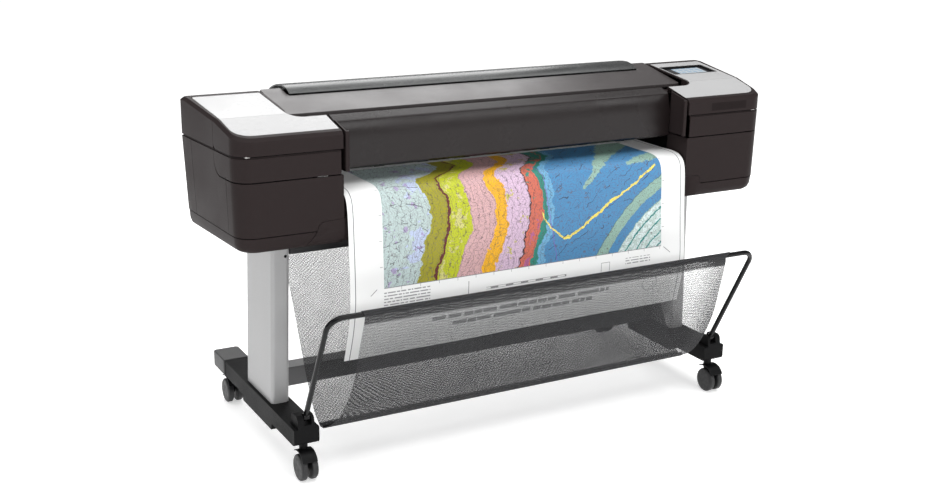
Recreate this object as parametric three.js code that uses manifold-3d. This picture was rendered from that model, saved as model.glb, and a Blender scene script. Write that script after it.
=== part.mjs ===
// A large format plotter for 44 inch rolls, on a wheeled stand with a cloth paper basket.
// Millimetres. +Z is up, -Y is the front, +X is the right as seen from the front.
// The origin is on the floor, under the middle of the whole machine.

import * as THREE from 'three';
import { mergeVertices } from 'three/addons/utils/BufferGeometryUtils.js';
import Module from 'manifold-3d';

const wasm = await Module();
wasm.setup();

// ---------------------------------------------------------------- driving dimensions

const GAP = 0.3;                    // air between two pieces that touch
const PAPER_HALF = 559;             // half of a 44 inch roll

// Stand
const FOOT_X = 699.5;               // middle of each foot, leg and caster
const FOOT_W = 73.5;
const FOOT_HALF_L = 339.3;          // the feet run from -y to +y about the stand's own middle
const FOOT_Z = [106, 154];
const SKIRT_Z = 86;
const CAP_START = 236.6;            // where the rear end cap starts
const LEG_SIZE = [53, 209];
const LEG_Y = -40.4;
const LEG_LEAN = 14;                // the legs' tops stand this much closer together than their feet
const BODY_Z = 647;                 // underside of the end housings, on top of the legs
const WHEEL_R = 37.5;
const CASTER_Y = [-311, 299];       // swivel axes
const TRAIL = 16;                   // each wheel's axle sits this far in front of its swivel

// Printer body: both end housings share one plan and one side profile
const MOUTH_HALF = 565.5;           // inner face of each end housing
const BODY_HALF = 884;              // at the back; the side walls draw in towards the front
const FRONT_HALF = 857;
const FRONT = -304;
const BACK = 78;
const CORNER_R = 52;
const PAN_TOP = 692;                // seams, from the bottom up
const BAND_Z = 839;
const COVER_Z = 901.3;
const SIDE_SEAM = -154;             // upright seam behind each ink cover and front band
const GROOVE = 5;                   // open groove under the top covers
const SEAM = 1.6;                   // half of the wide seam under the front bands
const CREST = { front: 951, creaseY: -168, crease: 983.5, backY: 36, back: 1007.5 };
const RIM = 8;                      // chamfer round the outer edge of each top
const WALL = 3;
const LID = { halfX: 658.6, front: -131.3, height: 973.9, notchY: 3, notchHalf: 596, rear: 66, lip: 11 };
const LID_SLOPE = 0.1912;
const WELL = { x: 664, y: -191, radius: 38, floor: 958 };  // sunk corner of each top, in front of the lid
const COVER_HALF = 552;             // front cover, between the two pillars

// Corners of the output guide's end wings: x, z, radius and arc steps, from the lower inner corner round
const WING_GAP = 1;
const RIGHT_WING = [[563, 656], [613, 656, 4, 2], [627, 686, 16, 4], [622, 715, 14, 5], [563, 717]];
const LEFT_WING = [[-563, 656], [-668, 656], [-645, 684, 30, 4], [-634, 715, 22, 5], [-563, 717]];

// Paper path
const SHEET_Z = 787;                // underside of the sheet on the platen
const SHEET_T = 0.8;
const DRIVE_R = 12;
const PINCH_R = 8;
const NIP_Y = -62;
const ROLL_R = 61;
const ROLL_AXIS = [175, SHEET_Z + SHEET_T / 2 + ROLL_R + 0.6];
const CORE_R = 28;

// Basket
const ROD_R = 7.5;
const PIVOT = [-320.5, 180.3];
const LEAN = THREE.MathUtils.degToRad(27.4);
const ROD_LENGTH = 375.3;           // pivot to the middle of the top bar
const ROD_HALF = 694.5;
const BEND_R = 42;
const MESH_HALF = 602;              // front sheet
const BACK_MESH_HALF = 626;         // back sheet and the bar in the fold
const HEM_BAR = [-268, 117];        // middle of the bar in the basket's bottom fold
const HEM_BAR_R = 5;

// ---------------------------------------------------------------- materials

const finish = (color, roughness, metalness = 0) => () =>
  new THREE.MeshStandardMaterial({ color, roughness, metalness });
const shellPlastic = finish(0x4a4240, 0.55);
const lidPlastic = finish(0x6b6361, 0.5);
const blackPlastic = finish(0x1c1b1c, 0.6);
const footPlastic = finish(0x333335, 0.6);
const silverPlastic = finish(0xd4d4d6, 0.35, 0.3);
const legPaint = finish(0xb4b5b7, 0.4, 0.4);
const darkPaint = finish(0x1f1f21, 0.5, 0.3);
const steel = finish(0xb9bcc0, 0.3, 1);
const rubber = finish(0x2a2a2a, 0.85);
const meshCloth = finish(0x6f7072, 0.9);
const paperWhite = finish(0xf6f6f4, 0.8);
const hubBlue = finish(0x2f5f9e, 0.5);
const glassBlack = finish(0x0b0d10, 0.1);

// ---------------------------------------------------------------- outlines and solids

// A closed outline from corners [x, y, radius, segments], with each radius as a true arc.
function outline(corners) {
  const points = [];
  corners.forEach(([x, y, radius = 0, segments = 4], i) => {
    const corner = new THREE.Vector2(x, y);
    if (radius <= 0) {
      points.push(corner);
      return;
    }
    const to = (other) => new THREE.Vector2(other[0], other[1]).sub(corner).normalize();
    const back = to(corners.at(i - 1));
    const ahead = to(corners[(i + 1) % corners.length]);
    const half = Math.acos(THREE.MathUtils.clamp(back.dot(ahead), -1, 1)) / 2;
    const centre = back.clone().add(ahead).normalize().multiplyScalar(radius / Math.sin(half)).add(corner);
    const start = back.clone().multiplyScalar(radius / Math.tan(half)).add(corner).sub(centre);
    const end = ahead.clone().multiplyScalar(radius / Math.tan(half)).add(corner).sub(centre);
    const turn = Math.atan2(start.cross(end), start.dot(end));
    for (let k = 0; k <= segments; k += 1) {
      const angle = turn * k / segments;
      points.push(start.clone().rotateAround(new THREE.Vector2(), angle).add(centre));
    }
  });
  return points;
}

// The outline of a band of even thickness along an open line of points.
function ribbon(line, thickness) {
  const points = line.map(([x, y]) => new THREE.Vector2(x, y));
  const side = (offset) => points.map((point, i) => {
    const before = points[Math.max(i - 1, 0)];
    const after = points[Math.min(i + 1, points.length - 1)];
    const along = after.clone().sub(before).normalize();
    return point.clone().add(new THREE.Vector2(-along.y, along.x).multiplyScalar(offset));
  });
  return [...side(thickness / 2), ...side(-thickness / 2).reverse()];
}

// Points along a smooth curve through a few given points.
function smooth(line, count) {
  const curve = new THREE.SplineCurve(line.map(([x, y]) => new THREE.Vector2(x, y)));
  return curve.getSpacedPoints(count).map((point) => [point.x, point.y]);
}

const PLANES = {
  XY: [[1, 0, 0], [0, 1, 0], [0, 0, 1]],
  YZ: [[0, 1, 0], [0, 0, 1], [1, 0, 0]],
  XZ: [[1, 0, 0], [0, 0, 1], [0, -1, 0]],
};

// A prism whose outline lies in the named plane; low and high are along the third axis.
function prismGeometry(plane, points, low, high) {
  const settings = { depth: high - low, bevelEnabled: false };
  const geometry = new THREE.ExtrudeGeometry(new THREE.Shape(points), settings);
  geometry.translate(0, 0, plane === 'XZ' ? -high : low);
  const axes = PLANES[plane].map((axis) => new THREE.Vector3(...axis));
  return geometry.applyMatrix4(new THREE.Matrix4().makeBasis(...axes));
}

// A geometry as a solid that can be joined and cut.
function solid(geometry) {
  const bare = geometry.clone();
  bare.deleteAttribute('normal');
  bare.deleteAttribute('uv');
  const merged = mergeVertices(bare, 1e-4);
  const index = merged.index.array;
  const triVerts = [];
  for (let i = 0; i < index.length; i += 3) {
    const [a, b, c] = index.slice(i, i + 3);
    if (a !== b && b !== c && c !== a) triVerts.push(a, b, c);
  }
  const vertProperties = new Float32Array(merged.attributes.position.array);
  const mesh = new wasm.Mesh({ numProp: 3, vertProperties, triVerts: new Uint32Array(triVerts) });
  return new wasm.Manifold(mesh);
}

const prism = (...args) => solid(prismGeometry(...args));

function box([x0, x1], [y0, y1], [z0, z1]) {
  const geometry = new THREE.BoxGeometry(x1 - x0, y1 - y0, z1 - z0);
  return solid(geometry.translate((x0 + x1) / 2, (y0 + y1) / 2, (z0 + z1) / 2));
}

// A round bar along one axis, from low to high, about the point [a, b] in the other two.
function round(axis, [a, b], radius, low, high, sides = 16) {
  const geometry = new THREE.CylinderGeometry(radius, radius, high - low, sides);
  geometry.translate(0, (low + high) / 2, 0);
  if (axis === 'X') return solid(geometry.rotateZ(-Math.PI / 2).translate(0, a, b));
  if (axis === 'Z') return solid(geometry.rotateX(Math.PI / 2).translate(a, b, 0));
  return solid(geometry.translate(a, 0, b));
}

// A turned body about the X axis from [x, radius] stations.
function turned(stations, sides = 20) {
  const profile = stations.map(([x, radius]) => new THREE.Vector2(radius, x));
  return new THREE.LatheGeometry(profile, sides).rotateZ(-Math.PI / 2);
}

// A solid through outlines [z, points], all with the same number of points; z may be a function of y.
function loft(levels) {
  const count = levels[0][1].length;
  const height = (z, point) => (typeof z === 'function' ? z(point.y) : z);
  const ring = ([z, points]) => points.flatMap((point) => [point.x, point.y, height(z, point)]);
  const vertices = levels.flatMap(ring);
  const index = [];
  for (let level = 0; level < levels.length - 1; level += 1) {
    for (let i = 0; i < count; i += 1) {
      const a = level * count + i;
      const b = level * count + (i + 1) % count;
      index.push(a, b, b + count, a, b + count, a + count);
    }
  }
  const top = (levels.length - 1) * count;
  THREE.ShapeUtils.triangulateShape(levels[0][1], []).forEach(([a, b, c]) => index.push(c, b, a));
  THREE.ShapeUtils.triangulateShape(levels.at(-1)[1], []).forEach(([a, b, c]) => {
    index.push(top + a, top + b, top + c);
  });
  const geometry = new THREE.BufferGeometry();
  geometry.setAttribute('position', new THREE.Float32BufferAttribute(vertices, 3));
  geometry.setIndex(index);
  return solid(geometry);
}

// The surface of a solid, or a plain geometry, ready for a mesh.
function surface(shape) {
  if (shape.isBufferGeometry) return shape;
  const { numProp, vertProperties, triVerts } = shape.getMesh();
  const geometry = new THREE.BufferGeometry();
  geometry.setAttribute('position', new THREE.Float32BufferAttribute(vertProperties, numProp));
  geometry.setIndex([...triVerts]);
  return geometry;
}

// The same surface on the other side of the machine.
function mirrored(geometry) {
  const copy = geometry.index ? geometry.toNonIndexed() : geometry.clone();
  copy.scale(-1, 1, 1);
  const position = copy.attributes.position;
  const [b, c] = [new THREE.Vector3(), new THREE.Vector3()];
  for (let i = 0; i < position.count; i += 3) {
    b.fromBufferAttribute(position, i + 1);
    c.fromBufferAttribute(position, i + 2);
    position.setXYZ(i + 1, c.x, c.y, c.z);
    position.setXYZ(i + 2, b.x, b.y, b.z);
  }
  return copy;
}

function add(group, name, shape, material) {
  let geometry = surface(shape);
  if (geometry.index) geometry = geometry.toNonIndexed();
  geometry.computeVertexNormals();
  const mesh = new THREE.Mesh(geometry, material());
  mesh.name = name;
  group.add(mesh);
  return mesh;
}

// The same piece on both sides: built on the right, mirrored on the left.
function addPair(group, name, shape, material) {
  const right = surface(shape);
  add(group, `right_${name}`, right, material);
  add(group, `left_${name}`, mirrored(right), material);
}

const rectangle = ([x0, x1], [y0, y1], r = 0, segments = 3) =>
  outline([[x0, y0, r, segments], [x1, y0, r, segments], [x1, y1, r, segments], [x0, y1, r, segments]]);

// ---------------------------------------------------------------- stand

const side = (x, half) => [x - half, x + half];

function foot() {
  const [z0, z1] = FOOT_Z;
  const half = FOOT_W / 2;
  const profile = outline([
    [-FOOT_HALF_L, z0, 10], [-166, z0], [-160, SKIRT_Z], [74, SKIRT_Z], [80, z0],
    [CAP_START - GAP, z0], [CAP_START - GAP, z1], [-FOOT_HALF_L, z1, 4],
  ]);
  const block = outline([
    [-FOOT_HALF_L, z1 - 4], [-282, z1 - 4], [-292, z1 + 34, 8], [-334, z1 + 34, 14],
  ]);
  const ears = prism('YZ', block, FOOT_X - 24, FOOT_X + 24)
    .subtract(box(side(FOOT_X - 5, 11), [-400, -200], [z1 + 8, z1 + 60]));
  return prism('YZ', profile, FOOT_X - half, FOOT_X + half).add(ears);
}

function footEndCap() {
  const half = FOOT_W / 2 + 3.5;
  const plan = outline([
    [FOOT_X - half, CAP_START], [FOOT_X + half, CAP_START],
    [FOOT_X + half, FOOT_HALF_L, 10], [FOOT_X - half, FOOT_HALF_L, 10],
  ]);
  return prism('XY', plan, FOOT_Z[0] + 1, FOOT_Z[1] + 3);
}

// A rounded box section that leans inwards, with a groove down its outer face and bolt holes at the top.
function leg() {
  const [w, d] = LEG_SIZE;
  const [bottom, top] = [FOOT_Z[1] + GAP, BODY_Z - GAP];
  const section = (x, inset) => rectangle(
    side(x, w / 2 - inset), side(LEG_Y, d / 2 - inset), 11 - inset, 4);
  const tube = (inset, extra) => loft([
    [bottom - extra, section(FOOT_X, inset)], [top + extra, section(FOOT_X - LEG_LEAN, inset)],
  ]);
  const front = LEG_Y - d / 2;
  const holes = [598, 606].map((z) => round('X', [front + 32, z], 2, FOOT_X - 40, FOOT_X + 60, 10));
  const bolt = round('Y', [FOOT_X - LEG_LEAN - 12, 584], 4.5, front - 5, front + 5, 14);
  return [...holes, bolt].reduce((body, hole) => body.subtract(hole), tube(0, 0).subtract(tube(2.5, 1)));
}

function crossbar() {
  const end = FOOT_X - LEG_SIZE[0] / 2 - 2;
  const [y, z] = [[-43, 17], [155, 213]];
  const outer = prism('YZ', rectangle(y, z, 4, 2), -end, end);
  const inner = prism('YZ', rectangle([y[0] + 2.5, y[1] - 2.5], [z[0] + 2.5, z[1] - 2.5]), -end - 1, end + 1);
  return outer.subtract(inner);
}

// A hooded caster fork about its own swivel axis, floor at z = 0.
function casterFork() {
  const web = outline([
    [-TRAIL - 9, WHEEL_R - 9, 6, 2], [-TRAIL + 10, WHEEL_R - 9, 6, 2], [16, 74, 4, 2], [16, 86, 3, 2],
    [-16, 86, 3, 2], [-TRAIL - 12, 72, 6, 2],
  ]);
  const hood = ribbon([[-50, 62], [-44, 72], [-33, 81], [-18, 85.5], [0, 84], [14, 78]], 3);
  const bore = round('X', [-TRAIL, WHEEL_R], 4.4, -20, 20, 12);
  return prism('YZ', web, -4, 4)
    .add(prism('YZ', hood, -22, 22))
    .add(round('Z', [0, 0], 12, 84, FOOT_Z[0] - GAP, 16))
    .subtract(bore);
}

// Two rubber-tyred discs on one axle, about their own middle.
function casterWheel() {
  const disc = [[-25, 0], [-25, 26], [-24, 34], [-21, WHEEL_R], [-9, WHEEL_R], [-6, 34.5], [-6, 4]];
  const twin = [...disc, ...disc.slice(1).reverse().map(([x, r]) => [-x, r]), [25, 0]];
  return turned(twin, 24);
}

function buildStand() {
  const stand = new THREE.Group();
  addPair(stand, 'foot', foot(), footPlastic);
  addPair(stand, 'foot_end_cap', footEndCap(), footPlastic);
  addPair(stand, 'leg', leg(), legPaint);
  add(stand, 'crossbar', crossbar(), legPaint);
  for (const [end, y] of [['front', CASTER_Y[0]], ['rear', CASTER_Y[1]]]) {
    for (const [hand, x] of [['left', -FOOT_X], ['right', FOOT_X]]) {
      const caster = new THREE.Group();
      caster.position.set(x, y, 0);
      add(caster, `${end}_${hand}_caster_fork`, casterFork(), blackPlastic);
      const wheel = add(caster, `${end}_${hand}_caster_wheel`, casterWheel(), rubber);
      wheel.position.set(0, -TRAIL, WHEEL_R);
      stand.add(caster);
    }
  }
  return stand;
}

// ---------------------------------------------------------------- basket

// The bent rod, upright about its pivot: its two feet, two bends and top bar.
function basketRod() {
  const straight = ROD_LENGTH - BEND_R;
  const bend = solid(rodBend());
  const upright = round('Z', [ROD_HALF, 0], ROD_R, -6, straight + 0.5, 10);
  const eye = round('X', [0, 0], 11, ROD_HALF - 8, ROD_HALF + 8, 14);
  const right = upright.add(bend).add(eye);
  const left = solid(mirrored(surface(right)));
  const bar = round('X', [0, ROD_LENGTH], ROD_R, -(ROD_HALF - BEND_R) - 0.5, ROD_HALF - BEND_R + 0.5, 10);
  return right.add(bar).add(left);
}

// A quarter turn of the rod, from the top of the right upright to the right end of the bar.
function rodBend() {
  const path = new THREE.CatmullRomCurve3([]);
  path.getPoint = (t, target = new THREE.Vector3()) => {
    const angle = t * Math.PI / 2;
    return target.set(
      ROD_HALF - BEND_R + BEND_R * Math.cos(angle), 0, ROD_LENGTH - BEND_R + BEND_R * Math.sin(angle));
  };
  const section = new THREE.Shape();
  section.absarc(0, 0, ROD_R, 0, Math.PI * 2);
  return new THREE.ExtrudeGeometry(section, { extrudePath: path, steps: 7, curveSegments: 10 });
}

// Where the top bar lies when the basket is at rest.
function topBar() {
  return [PIVOT[0] - ROD_LENGTH * Math.sin(LEAN), PIVOT[1] + ROD_LENGTH * Math.cos(LEAN)];
}

// The front sheet: a sleeve round the top bar, then a slack curve down to the bottom fold.
function basketFrontSheet() {
  const [y, z] = topBar();
  const sleeveR = ROD_R + 2.4;
  const sleeve = [];
  for (let k = 0; k <= 10; k += 1) {
    const angle = THREE.MathUtils.degToRad(-60 + 240 * k / 10);
    sleeve.push([y + sleeveR * Math.cos(angle), z + sleeveR * Math.sin(angle)]);
  }
  const sheet = smooth([
    [y - sleeveR, z - 6], [y + 6, z - 44], [-471, 400], [-440, 306], [-395, 222],
    [-350, 166], [-307, 132], [HEM_BAR[0] - 13, HEM_BAR[1] + 9],
  ], 16);
  return prism('YZ', ribbon([...sleeve, ...sheet], 2.4), -MESH_HALF, MESH_HALF);
}

// The back sheet: from the bottom fold up to the hook strip under the back of the body.
function basketBackSheet() {
  const sheet = smooth([
    [HEM_BAR[0] + 9, HEM_BAR[1] - 6], [-236, 122], [-205, 150], [-146, 252], [-62, 421], [6, 548], [52, 634],
  ], 14);
  return prism('YZ', ribbon(sheet, 2.4), -BACK_MESH_HALF, BACK_MESH_HALF);
}

function buildBasket() {
  const basket = new THREE.Group();
  const rod = add(basket, 'basket_frame', basketRod(), darkPaint);
  rod.position.set(0, ...PIVOT);
  rod.rotation.x = LEAN;
  add(basket, 'basket_front_sheet', basketFrontSheet(), meshCloth);
  add(basket, 'basket_back_sheet', basketBackSheet(), meshCloth);
  const bar = round('X', HEM_BAR, HEM_BAR_R, -BACK_MESH_HALF, BACK_MESH_HALF, 10);
  add(basket, 'basket_bottom_bar', bar, darkPaint);
  return basket;
}

// ---------------------------------------------------------------- end housings

// The outer side wall's distance from the middle, drawn in by an inset and by a draft at the back.
function wallX(y, inset, draft) {
  const forward = (BACK - y) / (BACK - FRONT);
  return BODY_HALF - (BODY_HALF - FRONT_HALF) * forward - inset - draft * (1 - 0.7 * forward);
}

// The right housing's plan, pulled in from its outer walls.
function housingPlan(inset = 0, draft = 0, innerX = MOUTH_HALF, insetY = inset) {
  const wall = (y) => [wallX(y, inset, draft), y];
  return outline([
    [innerX, FRONT + insetY],
    [...wall(FRONT + insetY), CORNER_R - inset / 2, 8],
    wall(CREST.creaseY), wall(CREST.backY),
    [...wall(BACK - insetY), 10, 3],
    [innerX, BACK - insetY],
  ]);
}

// The height of the top covers at a distance from front to back.
function crestHeight(y) {
  const { front, creaseY, crease, backY, back } = CREST;
  if (y < creaseY) return front + (crease - front) * (y - FRONT) / (creaseY - FRONT);
  return Math.min(back, crease + (back - crease) * (y - creaseY) / (backY - creaseY));
}

// The side profile of the top covers, lowered by a wall thickness.
function crestProfile(drop, bottom) {
  return outline([
    [FRONT + drop, bottom], [BACK - drop, bottom], [BACK - drop, CREST.back - drop, 8, 2],
    [CREST.backY, CREST.back - drop], [CREST.creaseY, CREST.crease - drop],
    [FRONT + drop, CREST.front - drop, 5, 2],
  ]);
}

// The space for one of the output guide's wings, laid out on the right: its sloping edge runs on downwards.
function wingCut(wing) {
  const [inner, foot, bend, top, innerTop] = wing.map(([x, z, ...rest]) => [Math.abs(x), z, ...rest]);
  const run = 0.4;
  return prism('XZ', outline([
    [inner[0] - 6, foot[1] + (foot[1] - bend[1]) * run],
    [foot[0] + (foot[0] - bend[0]) * run + WING_GAP, foot[1] + (foot[1] - bend[1]) * run],
    [bend[0] + WING_GAP, bend[1], ...bend.slice(2)],
    [top[0] + WING_GAP, top[1] + WING_GAP, ...top.slice(2)],
    [innerTop[0] - 6, innerTop[1] + WING_GAP],
  ]), -320, -287);
}

function bottomPan() {
  const shape = (inset) => loft([
    [BODY_Z + inset, housingPlan(30 + inset, 0, MOUTH_HALF + inset, 26 + inset)],
    [BODY_Z + 2 + inset, housingPlan(20 + inset, 2, MOUTH_HALF + inset, 17 + inset)],
    [BODY_Z + 9 + inset, housingPlan(9 + inset, 5, MOUTH_HALF + inset, 9 + inset)],
    [BODY_Z + 22 + inset, housingPlan(3 + inset, 8, MOUTH_HALF + inset, 4 + inset)],
    [PAN_TOP - 2.4 + inset, housingPlan(1 + inset, 9, MOUTH_HALF + inset, 2 + inset)],
  ]);
  return shape(0).subtract(shape(WALL));
}

// The whole wall between the pan and the top cover, before the band is cut from it.
function housingRing() {
  const shape = (inset, low, high) => loft([
    [low, housingPlan(inset, 9, MOUTH_HALF + inset, 1 + inset)],
    [high, housingPlan(inset, 0, MOUTH_HALF + inset)],
  ]);
  const top = COVER_Z - 1;
  const wall = shape(0, PAN_TOP, top).subtract(shape(WALL, PAN_TOP - 1, top + 1));
  const upper = (inset, extra) => prism(
    'XY', housingPlan(inset, 0.4, MOUTH_HALF + inset), top - 8 - extra, top + 3.4 + extra);
  const lip = upper(WALL - 0.3, 0).subtract(upper(2 * WALL, 1));
  const innerWall = [MOUTH_HALF - 10, MOUTH_HALF + 10];
  const carriageWay = box(innerWall, [-205, 60], [PAN_TOP - 5, COVER_Z + 15]);
  const floorWay = box(innerWall, [-284, 60], [PAN_TOP - 5, 700]);
  return wall.add(lip).subtract(sideGrooves()).subtract(carriageWay).subtract(floorWay);
}

// Two shallow upright grooves where the side panel meets its neighbours.
function sideGrooves() {
  const skin = (inset) => loft([
    [PAN_TOP - 1, housingPlan(inset, 9, MOUTH_HALF, 1 + inset)],
    [COVER_Z, housingPlan(inset, 0, MOUTH_HALF)],
  ]);
  const shallow = skin(-1).subtract(skin(1));
  const stripes = box([700, 1000], side(4, 0.8), [PAN_TOP - 5, COVER_Z + 5])
    .add(box([700, 1000], side(-228, 0.8), [PAN_TOP - 5, BAND_Z + 5]));
  return shallow.intersect(stripes);
}

function bandRegion(below, behind) {
  const profile = outline([
    [-400, BAND_Z - below], [SIDE_SEAM + behind, BAND_Z - below, 38, 6],
    [SIDE_SEAM + behind, COVER_Z + 15], [-400, COVER_Z + 15],
  ]);
  return prism('YZ', profile, MOUTH_HALF - 10, BODY_HALF + 10);
}

// The plan of the sunk corner in front of the lid.
function wellPlan(grow) {
  return outline([
    [MOUTH_HALF - 10, WELL.y - grow], [WELL.x + grow, WELL.y - grow, WELL.radius, 5],
    [WELL.x + grow, LID.front - 1], [MOUTH_HALF - 10, LID.front - 1],
  ]);
}

function topShell() {
  const bottom = COVER_Z + GROOVE;
  const chamfer = loft([
    [bottom - 1, housingPlan()],
    [(y) => crestHeight(y) - RIM, housingPlan()],
    [(y) => crestHeight(y) + RIM, housingPlan(2 * RIM, 0, MOUTH_HALF)],
  ]);
  const outer = prism('YZ', crestProfile(0, bottom), MOUTH_HALF, BODY_HALF)
    .intersect(chamfer)
    .subtract(prism('XY', wellPlan(0), WELL.floor, CREST.back + 20));
  const inner = prism('YZ', crestProfile(5, COVER_Z - 5), MOUTH_HALF - 5, BODY_HALF - WALL)
    .intersect(prism('XY', housingPlan(RIM, 0, MOUTH_HALF - 5), COVER_Z - 10, CREST.back + 5))
    .subtract(prism('XY', wellPlan(WALL), WELL.floor - WALL, CREST.back + 20));
  const lidSpace = box(
    [MOUTH_HALF - 5, LID.halfX + 2.5], [LID.front - 2.2, BACK - 6], [COVER_Z - 5, CREST.back + 5]);
  return outer.subtract(inner).subtract(lidSpace);
}

// The part of the top that lifts: everything in front of the crease and the slanted side seam.
function flapRegion(clear) {
  const y = CREST.creaseY - clear;
  const seam = outline([
    [MOUTH_HALF - 10, -400], [BODY_HALF + 10, -400], [BODY_HALF + 10, SIDE_SEAM - clear],
    [862, SIDE_SEAM - clear], [850, y], [MOUTH_HALF - 10, y],
  ]);
  return prism('XY', seam, COVER_Z - 10, CREST.back + 10);
}

// A small notch at the foot of the seam between each ink cover and its top cover.
function seamNotch() {
  const z = COVER_Z + GROOVE;
  const triangle = outline([[SIDE_SEAM + 1, z - 1], [SIDE_SEAM + 1, z + 9], [SIDE_SEAM - 14, z - 1]]);
  return prism('YZ', triangle, MOUTH_HALF + 200, BODY_HALF + 10);
}

// Plan of the silver inlay on top of each housing; clear widens it into its recess.
function inlayPlan(clear) {
  return prism('XY', outline([
    [MOUTH_HALF + 2 - clear, -281 - clear], [847 + clear, -281 - clear, 48, 7],
    [861 + clear, 42 + clear, 8, 3], [669 - clear, 42 + clear, 4, 2],
    [669 - clear, -195 + clear, 42, 6], [MOUTH_HALF + 2 - clear, -195 + clear],
  ]), COVER_Z, CREST.back + 10);
}

// A slice of the top between two depths below its surface.
const slice = (high, low) => prism('YZ', crestProfile(high, COVER_Z), MOUTH_HALF, BODY_HALF)
  .subtract(prism('YZ', crestProfile(low, COVER_Z - 1), MOUTH_HALF - 1, BODY_HALF + 1));

const SLOPE = Math.atan2(CREST.back - CREST.crease, CREST.backY - CREST.creaseY);
const DISPLAY = { x: 758, y: -44, width: 170, depth: 90, height: 13 };
const BUTTON = { x: 825, y: -108, radius: 6 };

// A point at a given depth below the rear slope of the top.
function onSlope(x, y, depth = 0) {
  const z = CREST.crease + (y - CREST.creaseY) * Math.tan(SLOPE);
  return new THREE.Vector3(x, y + depth * Math.sin(SLOPE), z - depth * Math.cos(SLOPE));
}

// A solid made flat about its own middle, laid on the rear slope of the top.
function tilted(shape, { x, y }) {
  const place = onSlope(x, y);
  return solid(surface(shape).rotateX(SLOPE).translate(place.x, place.y, place.z));
}

const displayBlock = (grow, low, high) => prism('XY',
  rectangle(side(0, DISPLAY.width / 2 + grow), side(0, DISPLAY.depth / 2 + grow), 5, 2), low, high);

function displayFrame() {
  const window = rectangle(side(0, DISPLAY.width / 2 - 6), side(0, DISPLAY.depth / 2 - 6), 3, 2);
  return displayBlock(0, -DISPLAY.height, -0.3).subtract(prism('XY', window, -9, 5));
}

function touchScreen() {
  const pane = rectangle(side(0, DISPLAY.width / 2 - 6.4), side(0, DISPLAY.depth / 2 - 6.4), 3, 2);
  return prism('XY', pane, -8.7, -5);
}

function pillarTrim() {
  const plan = outline([
    [547, FRONT + 0.5, 2, 2], [558.5, FRONT + 0.5, 2, 2], [558.5, -226],
    [554, -226], [554, -296], [547, -296],
  ]);
  const crest = outline([
    [-400, 843], [-150, 843], [-150, crestHeight(-150)], [FRONT, CREST.front, 2, 2], [-400, 937],
  ]);
  return prism('XY', plan, 843, 990).intersect(prism('YZ', crest, 500, 600));
}

function cartridge(x) {
  const block = box(side(x, 30), [-279, -202], [697.6 + GAP, 924]);
  return block.add(box(side(x, 14), [-262, -230], [920, 936]));
}

// A pair whose inner lower corners are cut away for the output guide's two different wings.
function addCutPair(group, name, shape) {
  const left = surface(shape.subtract(wingCut(LEFT_WING)));
  add(group, `right_${name}`, shape.subtract(wingCut(RIGHT_WING)), shellPlastic);
  add(group, `left_${name}`, mirrored(left), shellPlastic);
}

function buildHousings() {
  const housings = new THREE.Group();
  addCutPair(housings, 'bottom_pan', bottomPan());
  const ring = housingRing();
  addCutPair(housings, 'side_shell', ring.subtract(bandRegion(2 * SEAM, 0.8)));
  const band = ring.intersect(bandRegion(0, 0)).intersect(box([572, 1000], [-400, 0], [0, 2000]));
  addPair(housings, 'front_band', band, shellPlastic);

  const recess = inlayPlan(1).intersect(slice(-5, 2.2));
  const top = topShell().subtract(recess);
  const inlay = inlayPlan(0).intersect(slice(0, 1.8));
  const displayHole = tilted(displayBlock(0.5, -40, 20), DISPLAY);
  const buttonHole = tilted(round('Z', [0, 0], BUTTON.radius + 0.5, -12, 12, 20), BUTTON);
  const openings = displayHole.add(buttonHole);
  const rear = top.subtract(flapRegion(-0.6));
  const rearInlay = inlay.subtract(flapRegion(-0.4));
  add(housings, 'right_top_cover', rear.subtract(openings), shellPlastic);
  add(housings, 'left_top_cover', mirrored(surface(rear)), shellPlastic);
  add(housings, 'right_rear_inlay', rearInlay.subtract(openings), silverPlastic);
  add(housings, 'left_rear_inlay', mirrored(surface(rearInlay)), silverPlastic);
  addPair(housings, 'ink_cover', top.intersect(flapRegion(0.6)).subtract(seamNotch()), shellPlastic);
  addPair(housings, 'front_inlay', inlay.intersect(flapRegion(0.4)), silverPlastic);
  addPair(housings, 'pillar_trim', pillarTrim(), lidPlastic);
  for (const [number, x] of [[1, -780], [2, -690], [3, 690], [4, 780]]) {
    add(housings, `ink_cartridge_${number}`, cartridge(x), blackPlastic);
  }

  const panel = new THREE.Group();
  panel.position.copy(onSlope(DISPLAY.x, DISPLAY.y));
  panel.rotation.x = SLOPE;
  add(panel, 'display_frame', displayFrame(), blackPlastic);
  add(panel, 'touch_screen', touchScreen(), glassBlack);
  housings.add(panel);
  const cap = round('Z', [0, 0], BUTTON.radius, -5, 0.6, 20);
  const button = add(housings, 'power_button', cap, silverPlastic);
  button.position.copy(onSlope(BUTTON.x, BUTTON.y));
  button.rotation.x = SLOPE;
  return housings;
}

// ---------------------------------------------------------------- middle of the body

// A welded steel frame: a floor through both housings, a back upright and the beam under it.
function baseFrame() {
  const floor = box([-840, 840], [-280, 56], [694.6, 697.6]);
  const upright = box([-862, 862], [52, 56], [694.6, 905]);
  const slot = box([-PAPER_HALF - 12, PAPER_HALF + 12], [40, 70], [SHEET_Z - 10, SHEET_Z + 14]);
  const beam = box([-560, 560], [-130, -60], [640, 695.5]).add(box([-655, 655], [-130, -60], [583, 646.5]))
    .subtract(box([-556, 556], [-126, -64], [580, 692])).subtract(box([-652, 652], [-126, -64], [580, 643]));
  return floor.add(upright).subtract(slot).add(beam);
}

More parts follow.
